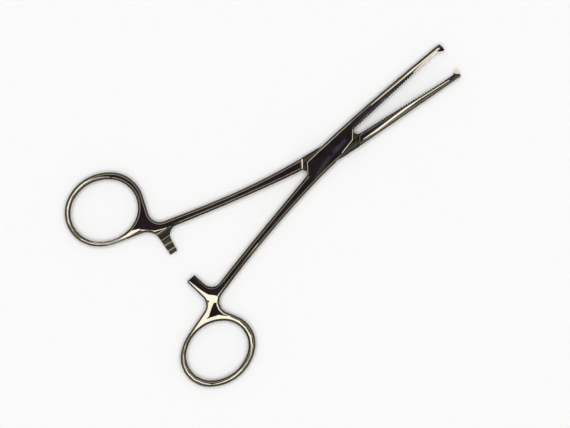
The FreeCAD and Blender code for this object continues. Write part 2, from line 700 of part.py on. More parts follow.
def cut_ratchet(body, half):
    """Halves the arm's thickness, squares its tip and cuts the saw teeth that face the other."""
    s = side(half)
    root = s * size("ratchet_root")
    past = -s * (size("arm_over") + SPARE + 1)
    root_x, root_width = own(half, "arm_root")
    left = root_x - root_width
    right = root_x + root_width
    slant = size("arm_step_slant")
    plan = [(left, root), (right - slant, root), (right, root - s * slant), (right, past),
            (left, past)]
    face_up = half == "tongue"
    level = "%s(sizes.ratchet_gap / 2)" % ("-" if face_up else "")
    step = add_sketch(body, half + "_arm_step_plan", "XY_Plane", polygon(plan), level)
    cut(body, half + "_arm_step", step, "sizes.lock_thickness", reverse=face_up)
    tip = -s * size("arm_over")
    end = add_sketch(body, half + "_arm_end_plan", "XY_Plane",
                     polygon([(left, tip), (right, tip), (right, past), (left, past)]))
    cut(body, half + "_arm_end", end)
    # Saw teeth: each drops steeply on its root side, so that the arms slide in and hold
    gap = size("ratchet_gap") / 2
    low = gap + size("ratchet_depth")
    pitch = size("ratchet_pitch")
    crest = size("ratchet_crest")
    start = size("ratchet_first") - size("arm_over") - pitch
    up = -1 if face_up else 1
    saw = [(s * start, up * (gap - 0.05)), (s * start, up * low),
           (s * (start + pitch - crest), up * gap), (s * (start + pitch - crest), up * (gap - 0.05))]
    sketch = add_sketch(body, half + "_saw_plan", "YZ_Plane", polygon(saw))
    sketch.AttachmentOffset = FreeCAD.Placement(V(0, 0, right), FreeCAD.Rotation())
    notch = cut(body, half + "_saw", sketch, "sizes.%s_arm_root_bb * 2" % half)
    DOC.recompute()
    row = body.newObject("PartDesign::LinearPattern", half + "_saw_row")
    row.Originals = [notch]
    row.Direction = (sketch, ["H_Axis"])
    row.Reversed = s < 0
    count = int(size("ratchet_teeth")) + 1
    row.Occurrences = count
    row.setExpression("Length", "sizes.ratchet_pitch * %d" % (count - 1))
    body.Tip = row
    DOC.recompute()


def place(body, turn):
    """Lifts a half to the lock's mid-plane and turns it to its share of the opening."""
    body.Placement.Rotation = FreeCAD.Rotation(V(0, 0, 1), 1)
    body.setExpression("Placement.Rotation.Angle", turn)
    body.setExpression("Placement.Base.z", "sizes.lock_thickness / 2")


def make_half(half):
    body = base_half(half)
    dress(body, "Chamfer", half + "_bevel", lambda p: is_bevelled(half, p), "Size",
          "sizes.handle_bevel")
    dress(body, "Chamfer", half + "_jaw_bevel", lambda p: on_jaw_face(half, p), "Size",
          "sizes.jaw_inner_bevel")
    if half == "box":
        trim_lock(body)
    else:
        thin_tongue(body)
        dress(body, "Chamfer", "shoulder_bevel", on_shoulder, "Size", "sizes.shoulder_bevel")
    cut_ratchet(body, half)
    shape_tip(body, half)
    cut_grooves(body, half)
    place(body, "sizes.opening_angle / 2" if half == "box" else "-sizes.opening_angle / 2")
    DOC.recompute()
    return body


def make_pin():
    """The hinge pin, riveted and ground flush with both plates."""
    pin = DOC.addObject("Part::Cylinder", "hinge_pin")
    pin.Label = "hinge_pin"
    pin.setExpression("Radius", "sizes.pin_radius")
    pin.setExpression("Height", "sizes.lock_thickness")
    return pin


def write_parts(nodes):
    """Writes each piece to its own file, once the whole document is sound."""
    DOC.recompute()
    for item in DOC.Objects:
        if "Invalid" in item.State or "Error" in item.State:
            raise RuntimeError(item.Name + " has failed: " + ", ".join(item.State))
    for node in nodes:
        if node.Shape.isNull() or not node.Shape.isValid() or len(node.Shape.Solids) != 1:
            raise RuntimeError(node.Label + " isn't one sound solid")
    os.makedirs("parts", exist_ok=True)
    for node in nodes:
        node.Shape.exportStep("parts/" + node.Label + ".step")
        box = node.Shape.BoundBox
        print("%-12s %8.1f mm3  x %.1f to %.1f  y %.1f to %.1f  z %.1f to %.1f" % (
            node.Label, node.Shape.Volume, box.XMin, box.XMax, box.YMin, box.YMax, box.ZMin, box.ZMax))


write_parts([make_half("box"), make_half("tongue"), make_pin()])
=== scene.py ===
"""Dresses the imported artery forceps: polished steel, fine bevels, a pale table and soft light."""
import itertools
import math

import bmesh
import bpy
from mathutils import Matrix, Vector
from mathutils.geometry import intersect_point_line


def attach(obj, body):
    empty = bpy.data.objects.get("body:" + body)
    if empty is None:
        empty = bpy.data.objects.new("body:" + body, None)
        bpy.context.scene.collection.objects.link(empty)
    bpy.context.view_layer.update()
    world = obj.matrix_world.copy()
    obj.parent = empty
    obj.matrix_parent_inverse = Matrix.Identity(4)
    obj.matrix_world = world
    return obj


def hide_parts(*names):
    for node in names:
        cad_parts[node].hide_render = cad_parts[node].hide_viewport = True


bl_info = {
    "name": "Artery forceps",
    "version": (1, 0, 0),
    "blender": (4, 5, 0),
    "location": "3D View > Sidebar > Forceps",
    "description": "Dresses box-lock artery forceps in polished steel on a pale table",
    "category": "Add Mesh",
}

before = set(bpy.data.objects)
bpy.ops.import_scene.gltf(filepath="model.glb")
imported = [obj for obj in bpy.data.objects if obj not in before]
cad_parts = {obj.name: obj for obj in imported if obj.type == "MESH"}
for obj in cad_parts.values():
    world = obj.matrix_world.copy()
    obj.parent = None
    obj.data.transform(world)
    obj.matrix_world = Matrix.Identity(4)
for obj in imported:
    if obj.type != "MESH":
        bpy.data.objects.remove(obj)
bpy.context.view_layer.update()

MM = 0.001
BODY_OF = {"box_half": "box_body", "tongue_half": "tongue_body"}

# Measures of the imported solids, in millimetres and degrees
MID_HEIGHT = 2.4        # middle of the lock over its lower face, which is at 0
LOCK_REACH = 13.6       # hinge axis to the ends of the lock
JAW_START = 13.0        # hinge axis to where the jaws' faces begin
JAW_FACE_REACH = 1.6    # half width of the strip that holds the jaws' grooves and tip teeth
BORE_REACH = 1.3        # the pin and its bore lie within this radius
HALF_OPENING = 5.45     # each half's turn from the middle line, as it stands

# Shares of the full rounding
WIDE, GROOVED, FINE, NONE = 1.0, 0.25, 0.3, 0.0

# Limits of the rounding
ROOM_SHARE = 0.42       # most of the room beside an edge that its rounding takes
LEAST_SHARE = 0.03      # an edge that would get less than this stays sharp
EASE_SHARE = 0.25       # most that the width changes between two edges, over their joint length
RUN_ON_ANGLE = 2.4      # radians between two edges at a corner from which they are one rim
FOLD_ANGLE = math.radians(125)      # faces whose normals differ by more are folded over
FOLD_REACH = 0.4 * MM               # edges this near to a fold are rounded less

# Scales of the finish's noise, per metre
SLOW_LEANS, CLOUDS, MILL_STREAKS, POLISH_LINES = 110.0, 260.0, 900.0, 2400.0

# Strengths of the room that the steel mirrors and of the soft light on the table
ROOM_STRENGTH, SOFT_STRENGTH = 1.7, 5.6


class ForcepsSteel(bpy.types.PropertyGroup):
    """Finish of the steel, with painted shade on its walls, bevels and recesses."""

    base: bpy.props.FloatVectorProperty(
        name="Steel colour", description="Colour of the buffed faces",
        default=(0.62, 0.59, 0.54), size=3, min=0, max=1, subtype="COLOR")
    # Painted shade: the colour laid on walls and bevels in place of the dark surroundings they
    # would mirror
    painted_flank_shade: bpy.props.FloatVectorProperty(
        name="Flank colour", description="Duller tone of the walls and bevels",
        default=(0.070, 0.065, 0.050), size=3, min=0, max=1, subtype="COLOR")
    # Painted shade: the dark colour of the ratchet, the jaws' grooves and the tongue under the
    # plates, over a rougher mill finish
    painted_recess_shade: bpy.props.FloatVectorProperty(
        name="Recess colour", description="Dark olive tone of ratchet, grooves and tongue",
        default=(0.026, 0.0245, 0.019), size=3, min=0, max=1, subtype="COLOR")
    polish: bpy.props.FloatProperty(
        name="Polish roughness", description="Roughness of the buffed faces",
        default=0.055, min=0.02, max=0.6, subtype="FACTOR")
    recess_roughness: bpy.props.FloatProperty(
        name="Recess roughness", description="Roughness of faces that a wheel can't reach",
        default=0.34, min=0.02, max=0.8, subtype="FACTOR")
    waviness: bpy.props.FloatProperty(
        name="Waviness", description="How far the buffed faces lean from true, as a slope",
        default=0.05, min=0, max=0.3, subtype="FACTOR")
    line_depth: bpy.props.FloatProperty(
        name="Polishing lines", description="Depth of the fine lines along the steel",
        default=0.0015 * MM, min=0, max=0.05 * MM, subtype="DISTANCE", unit="LENGTH")
    rounding: bpy.props.FloatProperty(
        name="Rounding", description="How far the bevels' edges are rounded off",
        default=0.26 * MM, min=0, max=0.4 * MM, subtype="DISTANCE", unit="LENGTH")


class ForcepsStage(bpy.types.PropertyGroup):
    """Table colour and camera."""

    floor: bpy.props.FloatVectorProperty(
        name="Table colour", description="Colour of the pale table",
        default=(0.95, 0.95, 0.95), size=3, min=0, max=1, subtype="COLOR")
    turn: bpy.props.FloatProperty(
        name="Camera turn", description="Turn of the camera about the vertical",
        default=math.radians(-37.35), subtype="ANGLE", unit="ROTATION")
    aim: bpy.props.FloatVectorProperty(
        name="Aim", description="Point that the camera looks at",
        default=(-27.9 * MM, -8.29 * MM, 2.4 * MM), size=3, subtype="TRANSLATION", unit="LENGTH")
    distance: bpy.props.FloatProperty(
        name="Distance", description="Height of the camera over its aim",
        default=1.5, min=0.2, subtype="DISTANCE", unit="LENGTH")
    view_width: bpy.props.FloatProperty(
        name="View width", description="Width of what the camera sees at its aim",
        default=219.7 * MM, min=0.05, subtype="DISTANCE", unit="LENGTH")


def deselect_all():
    if bpy.context.object and bpy.context.object.mode != "OBJECT":
        bpy.ops.object.mode_set(mode="OBJECT")
    bpy.ops.object.select_all(action="DESELECT")


def pick(piece):
    """Selects one object alone and makes it the active one."""
    deselect_all()
    piece.select_set(True)
    bpy.context.view_layer.objects.active = piece


def apply_modifiers(piece):
    pick(piece)
    for modifier in list(piece.modifiers):
        bpy.ops.object.modifier_apply(modifier=modifier.name)


def copy_of(node, name):
    """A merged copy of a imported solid, free of its body, for finer finishing."""
    pick(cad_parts[node])
    bpy.ops.object.duplicate()
    piece = bpy.context.object
    piece.name = name
    piece.data.name = name
    for key in [k for k in piece.keys() if k.startswith("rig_")]:
        del piece[key]
    piece.parent = None
    bpy.ops.object.mode_set(mode="EDIT")
    bpy.ops.mesh.select_all(action="SELECT")
    bpy.ops.mesh.customdata_custom_splitnormals_clear()
    bpy.ops.mesh.remove_doubles(threshold=0.0005 * MM)
    bpy.ops.mesh.dissolve_limited(angle_limit=math.radians(0.05), delimit={"NORMAL"})
    bpy.ops.object.mode_set(mode="OBJECT")
    return piece


def rounding_share(node, edge):
    """How much of the full rounding an edge gets: wide on bevels, fine on cut edges."""
    if len(edge.link_faces) != 2:
        return NONE
    angle = math.degrees(edge.calc_face_angle())
    middle = (edge.verts[0].co + edge.verts[1].co) / (2 * MM)
    if angle < 18 or math.hypot(middle.x, middle.y) < BORE_REACH:
        return NONE
    turn = math.radians(HALF_OPENING if node == "box_half" else -HALF_OPENING)
    from_bite = middle.y * math.cos(turn) - middle.x * math.sin(turn)
    if middle.x > JAW_START and abs(from_bite) < JAW_FACE_REACH:
        return GROOVED
    lifts = sorted(abs(face.normal.z) for face in edge.link_faces)
    on_plates = abs(middle.x) < LOCK_REACH and abs(abs(middle.z - MID_HEIGHT) - MID_HEIGHT) < 0.02
    if on_plates and lifts[1] > 0.98 and angle > 60:
        return WIDE
    if any(0.5 < lift < 0.85 for lift in lifts):
        return WIDE if angle < 65 else FINE
    return FINE if angle > 40 else NONE


def nearest_on(edge, spot):
    """The point of an edge that lies nearest to a spot."""
    first, last = (vert.co for vert in edge.verts)
    share = intersect_point_line(spot, first, last)[1]
    return first.lerp(last, min(max(share, 0.0), 1.0))


def room_beside(edge, rounded):
    """How far the rounding of an edge may reach into its faces before it meets another's."""
    room = math.inf
    for face in edge.link_faces:
        loop = next(loop for loop in face.loops if loop.edge == edge)
        start, end = loop.vert.co, loop.link_loop_next.vert.co
        inward = face.normal.cross(end - start).normalized()
        for other in face.edges:
            shared = set(other.verts) & set(edge.verts)
            if other == edge or not (shared or other in rounded):
                continue
            if shared:
                corner = shared.pop()
                ways = [other.other_vert(corner).co - corner.co]
            else:
                ways = [nearest_on(other, spot) - spot for spot in (start, (start + end) / 2, end)]
            depths = [way.dot(inward) for way in ways if way.dot(inward) > 0.5 * way.length > 0]
            room = min([room, *depths])
    return room


def rim_joins(shape, rounded):
    """Pairs of rounded edges that run on into each other."""
    joins = []
    for vert in shape.verts:
        around = [edge for edge in vert.link_edges if edge in rounded]
        for one, two in itertools.combinations(around, 2):
            away = [edge.other_vert(vert).co - vert.co for edge in (one, two)]
            if away[0].angle(away[1]) > RUN_ON_ANGLE:
                joins.append((one, two))
    return joins


def ease_along_rims(shares, joins, width):
    """Lets the rounding grow and shrink slowly along a rim."""
    for _ in range(20):
        for one, two in joins:
            step = EASE_SHARE * (one.calc_length() + two.calc_length()) / width
            shares[one] = min(shares[one], shares[two] + step)
            shares[two] = min(shares[two], shares[one] + step)


def folds(piece):
    """Places where the rounding's faces turn over each other."""
    shape = bmesh.new()
    shape.from_object(piece, bpy.context.evaluated_depsgraph_get())
    shape.normal_update()
    spots = [(edge.verts[0].co + edge.verts[1].co) / 2 for edge in shape.edges
             if len(edge.link_faces) == 2 and edge.calc_face_angle() > FOLD_ANGLE
             and min(face.calc_area() for face in edge.link_faces) > 1e-10]
    shape.free()
    return spots


def round_edges(piece, node, width):
    """Rounds the long bevels widely and every cut edge a little, less where faces are narrow."""
    bevel = piece.modifiers.new("rounding", "BEVEL")
    bevel.width = width
    bevel.segments = 3
    bevel.limit_method = "WEIGHT"
    bevel.use_clamp_overlap = False
    shape = bmesh.new()
    shape.from_mesh(piece.data)
    shape.normal_update()
    layer = shape.edges.layers.float.new("bevel_weight_edge")
    shares = {edge: rounding_share(node, edge) for edge in shape.edges}
    rounded = {edge for edge, share in shares.items() if share > 0}
    for edge in rounded:
        shares[edge] = min(shares[edge], ROOM_SHARE * room_beside(edge, rounded) / width)
    joins = rim_joins(shape, rounded)
    # Where faces still fold over each other, the rounding near them is halved and tried again
    for _ in range(8):
        ease_along_rims(shares, joins, width)
        for edge, share in shares.items():
            edge[layer] = share if share > LEAST_SHARE else 0.0
        shape.to_mesh(piece.data)
        spots = folds(piece)
        if not spots:
            break
        for edge in rounded:
            if any((nearest_on(edge, spot) - spot).length < FOLD_REACH for spot in spots):
                shares[edge] *= 0.5
    shape.free()
    pick(piece)
    bpy.ops.object.shade_smooth_by_angle(angle=math.radians(40))
    apply_modifiers(piece)
    bpy.ops.object.shade_smooth_by_angle(angle=math.radians(40))
    weigh = piece.modifiers.new("steady normals", "WEIGHTED_NORMAL")
    weigh.keep_sharp = True
    weigh.weight = 80
    apply_modifiers(piece)


# Materials

class Nodes:
    """Adds and joins shader nodes in one tree."""

    def __init__(self, tree):
        self.tree = tree

    def add(self, kind, **settings):
        node = self.tree.nodes.new(kind)
        for key, value in settings.items():
            setattr(node, key, value)
        return node

    def link(self, source, target):
        self.tree.links.new(source, target)

    def math(self, operation, a, b=None, clamp=False):
        node = self.add("ShaderNodeMath", operation=operation, use_clamp=clamp)
        for socket, value in zip(node.inputs, (a, b)):
            if value is None:
                continue
            if isinstance(value, (int, float)):
                socket.default_value = value
            else:
                self.link(value, socket)
        return node.outputs[0]

    def vector(self, operation, a, b=None, scale=None):
        node = self.add("ShaderNodeVectorMath", operation=operation)
        for socket, value in zip(node.inputs, (a, b)):
            if value is None:
                continue
            if isinstance(value, tuple):
                socket.default_value = value
            else:
                self.link(value, socket)
        if isinstance(scale, float):
            node.inputs["Scale"].default_value = scale
        elif scale is not None:
            self.link(scale, node.inputs["Scale"])
        return node.outputs["Value" if operation in ("DOT_PRODUCT", "DISTANCE") else "Vector"]

    def blend(self, mask, under, over):
        """Lays one colour over another where the mask is."""
        node = self.add("ShaderNodeMix", data_type="RGBA")
        sockets = [i for i in node.inputs if i.type == "RGBA"]
        self.link(mask, node.inputs[0])
        self.link(under, sockets[0])
        if isinstance(over, tuple):
            sockets[1].default_value = (*over, 1)
        else:
            self.link(over, sockets[1])
        return next(o for o in node.outputs if o.type == "RGBA")

    def ramp(self, source, *stops):
        node = self.add("ShaderNodeValToRGB")
        while len(node.color_ramp.elements) < len(stops):
            node.color_ramp.elements.new(0.5)
        for element, (place, shade) in zip(node.color_ramp.elements, stops):
            element.position = place
            element.color = (*shade, 1) if isinstance(shade, tuple) else (shade, shade, shade, 1)
        self.link(source, node.inputs["Fac"])
        return node.outputs["Color"]

    def noise(self, place, scale, detail, stretch=None, output="Fac"):
        if stretch:
            mapping = self.add("ShaderNodeMapping")
            mapping.inputs["Scale"].default_value = stretch
            self.link(place, mapping.inputs["Vector"])
            place = mapping.outputs["Vector"]
        node = self.add("ShaderNodeTexNoise")
        node.inputs["Scale"].default_value = scale
        node.inputs["Detail"].default_value = detail
        self.link(place, node.inputs["Vector"])
        return node.outputs[output]


def new_group(name, inputs, outputs):
    """An empty node group with its sockets: its nodes, what it is given and what it gives."""
    tree = bpy.data.node_groups.new(name, "ShaderNodeTree")
    for title, kind, default in inputs:
        socket = tree.interface.new_socket(title, in_out="INPUT", socket_type=kind)
        if default is not None:
            socket.default_value = default
    for title, kind in outputs:
        tree.interface.new_socket(title, in_out="OUTPUT", socket_type=kind)
    nodes = Nodes(tree)
    return nodes, nodes.add("NodeGroupInput"), nodes.add("NodeGroupOutput")


def hand_polish_group():
    """Slow leans of a face that was buffed by hand, fine lines along it and cloudy gloss."""
    nodes, given, out = new_group(
        "hand_polish",
        [("Vector", "NodeSocketVector", None), ("Waviness", "NodeSocketFloat", 0.05),
         ("Roughness", "NodeSocketFloat", 0.1)],
        [("Lean", "NodeSocketVector"), ("Lines", "NodeSocketFloat"),
         ("Roughness", "NodeSocketFloat"), ("Cloud", "NodeSocketFloat")])
    place = given.outputs["Vector"]
    wave = nodes.noise(place, SLOW_LEANS, 1.0, output="Color")
    centred = nodes.vector("SUBTRACT", wave, (0.5, 0.5, 0.5))
    lean = nodes.vector("SCALE", centred, scale=given.outputs["Waviness"])
    nodes.link(nodes.vector("SCALE", lean, scale=2.0), out.inputs["Lean"])
    lines = nodes.noise(place, POLISH_LINES, 4.0, stretch=(0.04, 1.0, 1.0))
    cloud = nodes.noise(place, CLOUDS, 3.0)
    nodes.link(lines, out.inputs["Lines"])
    spread = nodes.math("MULTIPLY", nodes.math("SUBTRACT", cloud, 0.5), 0.06)
    streak = nodes.math("MULTIPLY", nodes.math("SUBTRACT", lines, 0.5), 0.04)
    rough = nodes.math("ADD", given.outputs["Roughness"], nodes.math("ADD", spread, streak))
    nodes.link(nodes.math("MAXIMUM", rough, 0.03), out.inputs["Roughness"])
    nodes.link(cloud, out.inputs["Cloud"])


def stretch_group():
    """Mask of a straight stretch with soft edges, laid over the leans that come before it."""
    nodes, given, out = new_group(
        "ground_stretch",
        [("Vector", "NodeSocketVector", None), ("Before", "NodeSocketVector", None),
         ("Start", "NodeSocketVector", None), ("End", "NodeSocketVector", None),
         ("Half width", "NodeSocketFloat", 0.001), ("End half width", "NodeSocketFloat", 0.001),
         ("Fade", "NodeSocketFloat", 0.0005), ("Lean", "NodeSocketVector", None)],
        [("Lean", "NodeSocketVector"), ("Mask", "NodeSocketFloat")])
    flat = nodes.vector("MULTIPLY", given.outputs["Vector"], (1, 1, 0))
    run = nodes.vector("SUBTRACT", given.outputs["End"], given.outputs["Start"])
    away = nodes.vector("SUBTRACT", flat, given.outputs["Start"])
    share = nodes.math("DIVIDE", nodes.vector("DOT_PRODUCT", away, run),
                       nodes.vector("DOT_PRODUCT", run, run), clamp=True)
    nearest = nodes.vector("ADD", given.outputs["Start"], nodes.vector("SCALE", run, scale=share))
    distance = nodes.vector("DISTANCE", flat, nearest)
    growth = nodes.math("SUBTRACT", given.outputs["End half width"], given.outputs["Half width"])
    half = nodes.math("ADD", given.outputs["Half width"], nodes.math("MULTIPLY", growth, share))
    fade = nodes.add("ShaderNodeMapRange", interpolation_type="SMOOTHSTEP")
    nodes.link(distance, fade.inputs["Value"])
    nodes.link(half, fade.inputs["From Min"])
    nodes.link(nodes.math("ADD", half, given.outputs["Fade"]), fade.inputs["From Max"])
    fade.inputs["To Min"].default_value = 1.0
    fade.inputs["To Max"].default_value = 0.0
    nodes.link(fade.outputs["Result"], out.inputs["Mask"])
    further = nodes.vector("SUBTRACT", given.outputs["Lean"], given.outputs["Before"])
    further = nodes.vector("SCALE", further, scale=fade.outputs["Result"])
    nodes.link(nodes.vector("ADD", given.outputs["Before"], further), out.inputs["Lean"])


# Ground facets in plan, in millimetres: points; the half width at each of them; the fade; and
# the lean of each stretch between two points. A lean is a slope to the left of the run, or a
# pair, whose second share turns bevels upwards.
FACETS = {
    "box_half": (
        # ratchet arm's edge and the fork
        (((-73.2, -6.7), (-72.2, -11.5), (-71.2, -15.5), (-69.2, -18.0)),
         (0.25, 0.425, 0.875, 1.25), 0.35, (0.24, 0.23, 0.22)),
        (((-70.5, -17.9), (-72.5, -18.8), (-75.5, -20.6), (-79.0, -21.4)),
         (0.75, 0.85, 1.075, 1.25), 0.3, (-0.2, -0.2, -0.21)),
        (((-68.9, -18.9), (-70.0, -20.4), (-70.4, -22.3), (-70.1, -24.4), (-68.6, -26.8)),
         (0.12, 0.11, 0.1, 0.075, 0.0), 0.16, (0.2, 0.21, 0.2, 0.19)),
        # ring: broad band at the fork's side, then a thin line all the way round
        (((-78.8, -22.4), (-75.2, -23.4), (-72.2, -24.4), (-69.4, -27.0), (-67.4, -30.5),
          (-66.75, -34.0), (-67.0, -37.6), (-68.8, -41.0)),
         (0.75, 0.725, 0.65, 0.55, 0.425, 0.3, 0.2, 0.11), 0.3,
         (0.21, 0.21, 0.21, 0.21, 0.21, 0.21, 0.2)),
        (((-68.8, -41.0), (-71.3, -43.4), (-74.3, -44.9), (-77.4, -45.8)),
         (0.11, 0.05, 0.04, 0.06), 0.2, (0.2, 0.17, 0.18)),
        (((-77.4, -45.8), (-80.6, -46.15), (-83.8, -46.0), (-86.9, -45.1), (-90.0, -43.6)),
         (0.12, 0.13, 0.14, 0.1, 0.06), 0.2, (0.2, 0.2, 0.2, 0.19)),
        (((-90.0, -43.6), (-92.4, -41.0), (-94.2, -37.9), (-94.75, -34.3), (-94.05, -30.9),
          (-92.2, -28.1), (-89.6, -25.6)),
         (0.03, 0.045, 0.08, 0.09, 0.05, 0.02, 0.02), 0.18, (0.17, 0.18, 0.2, 0.19, 0.17, 0.17)),
        (((-89.6, -25.6), (-86.6, -24.2), (-83.7, -23.2), (-81.8, -22.8), (-79.8, -22.3)),
         (0.02, 0.06, 0.2, 0.45, 0.6), 0.2, (0.17, 0.19, 0.2, 0.2)),
        # shank's bright line
        (((-67.4, -17.6), (-50.0, -12.9), (-43.0, -11.0)), (0.1, 0.06, 0.0), 0.2, (-0.22, -0.18)),
        # upper jaw's band, wider towards the tip
        (((24.0, 4.9), (30.0, 5.2), (40.0, 5.65), (48.0, 6.2), (55.0, 6.6), (57.2, 6.7)),
         (0.0, 0.04, 0.1, 0.23, 0.46, 0.42), 0.18, (0.22, 0.22, 0.22, 0.22, 0.22)),
        (((44.5, 4.95), (51.0, 5.55), (57.8, 6.1)),
         (0.0, 0.19, 0.28), 0.25, ((0.0, 1.8), (0.0, 2.4))),
        # the plates' free edges and the sheen across the upper plate
        (((-11.6, -1.5), (-9.0, 2.25), (13.4, 4.3)), (0.04, 0.02, 0.0), 0.13, (0.15, 0.15)),
        (((3.9, -2.9), (10.0, -1.35), (12.5, 1.7)), (0.05, 0.045, 0.04), 0.14, (-0.17, -0.17)),
        (((7.5, 0.2), (-0.5, -1.2), (-10.5, -4.2)), (0.15, 0.375, 0.05), 1.1, (0.075, 0.07)),
    ),
    "tongue_half": (
        # ring's low side
        (((-76.2, 21.0), (-79.0, 21.8)), (0.2, 0.5), 0.25, ((0.22, 0.05),)),
        (((-78.6, 21.7), (-82.3, 22.05), (-85.6, 22.8), (-88.9, 23.95), (-91.7, 25.95),
          (-94.3, 28.6), (-96.2, 31.7)),
         (0.42, 0.4, 0.36, 0.32, 0.25, 0.14, 0.05), 0.25,
         ((0.4, 0.4), (0.4, 0.4), (0.4, 0.4), (0.4, 0.4), (0.34, 0.4), (0.22, 0.2))),
        # ring's far side
        (((-96.6, 36.0), (-96.0, 39.8), (-94.4, 42.4), (-92.1, 45.2), (-89.1, 47.1),
          (-85.6, 47.9), (-82.3, 48.1), (-79.0, 47.5), (-76.0, 46.2), (-73.3, 44.3),
          (-71.3, 41.9)),
         (0.05, 0.085, 0.16, 0.225, 0.25, 0.235, 0.16, 0.06, 0.02, 0.02, 0.02), 0.2,
         (0.18, 0.2, 0.21, 0.21, 0.21, 0.2, 0.18, 0.15, 0.15, 0.15)),
        # line along the yoke
        (((-75.8, 20.5), (-73.7, 18.7), (-71.8, 16.9), (-69.2, 15.8), (-66.1, 14.8)),
         (0.06, 0.11, 0.09, 0.06, 0.0), 0.18, (-0.21, -0.2, -0.18, -0.18)),
        # ratchet's steps
        (((-73.4, 15.7), (-66.6, 15.0)), (0.04, 0.04), 0.12, ((0.1, 1.2),)),
        (((-72.6, 12.5), (-67.9, 12.1)), (0.16, 0.16), 0.12, ((0.0, 2.0),)),
        (((-72.8, 10.1), (-68.4, 9.7)), (0.16, 0.16), 0.12, ((0.0, 2.0),)),
        (((-73.0, 7.65), (-68.7, 7.3)), (0.16, 0.16), 0.12, ((0.0, 2.0),)),
        # lower jaw's band
        (((13.6, -3.7), (20.0, -4.1), (30.0, -4.15), (40.0, -4.35), (48.0, -5.05), (53.5, -5.7)),
         (0.02, 0.24, 0.28, 0.28, 0.24, 0.04), 0.2, (-0.22, -0.22, -0.22, -0.22, -0.22)),
        # tip tooth and the lock's shoulder
        (((58.4, -5.2), (57.7, -4.5)), (0.75, 0.75), 0.25, ((0.35, 1.0),)),
        (((-9.9, 4.2), (-11.7, 1.6)), (0.2, 0.2), 0.2, ((0.0, 2.2),)),
    ),
    "hinge_pin": (),
}

# Stretches that the buffing wheel can't reach, rougher and with painted shade: start, end, half
# width, fade,
#  share of the dullness and shade and how far it reaches from the mid plane
RECESSES = {
    "box_half": (((13.6, 1.9), (53.5, 5.6), 0.35, 0.3, 0.85, 3.0),),
    "tongue_half": (
        ((-73.2, 14.1), (-66.2, 13.6), 1.1, 0.2, 1.0, 3.0),
        ((-70.4, 12.0), (-71.0, 4.9), 2.6, 0.4, 1.0, 3.0),
        ((-9.5, 0.9), (10.0, -0.9), 6.0, 0.3, 1.0, 1.1),
        ((13.6, -1.5), (53.0, -5.1), 0.35, 0.3, 0.85, 3.0),
    ),
    "hinge_pin": (),
}


def lay_stretch(nodes, place, start, end, half_widths, fade, lean=0.0, before=None):
    """Adds one stretch to a material, over the leans of those before it."""
    group = nodes.add("ShaderNodeGroup", node_tree=bpy.data.node_groups["ground_stretch"])
    nodes.link(place, group.inputs["Vector"])
    if before is not None:
        nodes.link(before, group.inputs["Before"])
    aside, lift = lean if isinstance(lean, tuple) else (lean, 0.0)
    run = Vector((end[0] - start[0], end[1] - start[1])).normalized()
    values = {"Start": (start[0] * MM, start[1] * MM, 0), "End": (end[0] * MM, end[1] * MM, 0),
              "Half width": half_widths[0] * MM, "End half width": half_widths[1] * MM,
              "Fade": fade * MM, "Lean": (-run.y * aside, run.x * aside, lift)}
    for title, value in values.items():
        group.inputs[title].default_value = value
    return group.outputs


def facet_leans(nodes, place, facing, upright, node):
    """The leans of a half's ground facets, and where bevels are turned up by them."""
    lean = None
    for points, half_widths, fade, slopes in FACETS[node]:
        for k, slope in enumerate(slopes):
            stretch = lay_stretch(nodes, place, points[k], points[k + 1], half_widths[k:k + 2],
                                  fade, slope, lean)
            lean = stretch["Lean"]
    # The upward share acts on bevels only, not on walls, and takes the painted shade off them
    lift = nodes.add("ShaderNodeSeparateXYZ")
    nodes.link(lean, lift.inputs["Vector"])
    up = nodes.math("MULTIPLY", lift.outputs["Z"], nodes.ramp(upright, (0.25, 0.0), (0.5, 1.0)))
    shade_kept = nodes.math("SUBTRACT", 1.0, nodes.math("MULTIPLY", up, 2.5), clamp=True)
    raised = nodes.add("ShaderNodeCombineXYZ")
    nodes.link(lift.outputs["X"], raised.inputs["X"])
    nodes.link(lift.outputs["Y"], raised.inputs["Y"])
    nodes.link(nodes.math("MULTIPLY", up, nodes.math("SIGN", facing)), raised.inputs["Z"])
    return raised.outputs["Vector"], shade_kept


def recess_mask(nodes, place, node):
    """Where a half keeps the mill's rougher finish and gets painted shade."""
    height = nodes.add("ShaderNodeSeparateXYZ")
    nodes.link(place, height.inputs["Vector"])
    off_middle = nodes.math("ABSOLUTE",
                            nodes.math("SUBTRACT", height.outputs["Z"], MID_HEIGHT * MM))
    dull_and_shaded = None
    for start, end, half_width, fade, share, reach in RECESSES[node]:
        stretch = lay_stretch(nodes, place, start, end, (half_width, half_width), fade)
        within = nodes.math("LESS_THAN", off_middle, reach * MM)
        mask = nodes.math("MULTIPLY", stretch["Mask"], nodes.math("MULTIPLY", within, share))
        dull_and_shaded = mask if dull_and_shaded is None else nodes.math("MAXIMUM", dull_and_shaded, mask)
    return dull_and_shaded


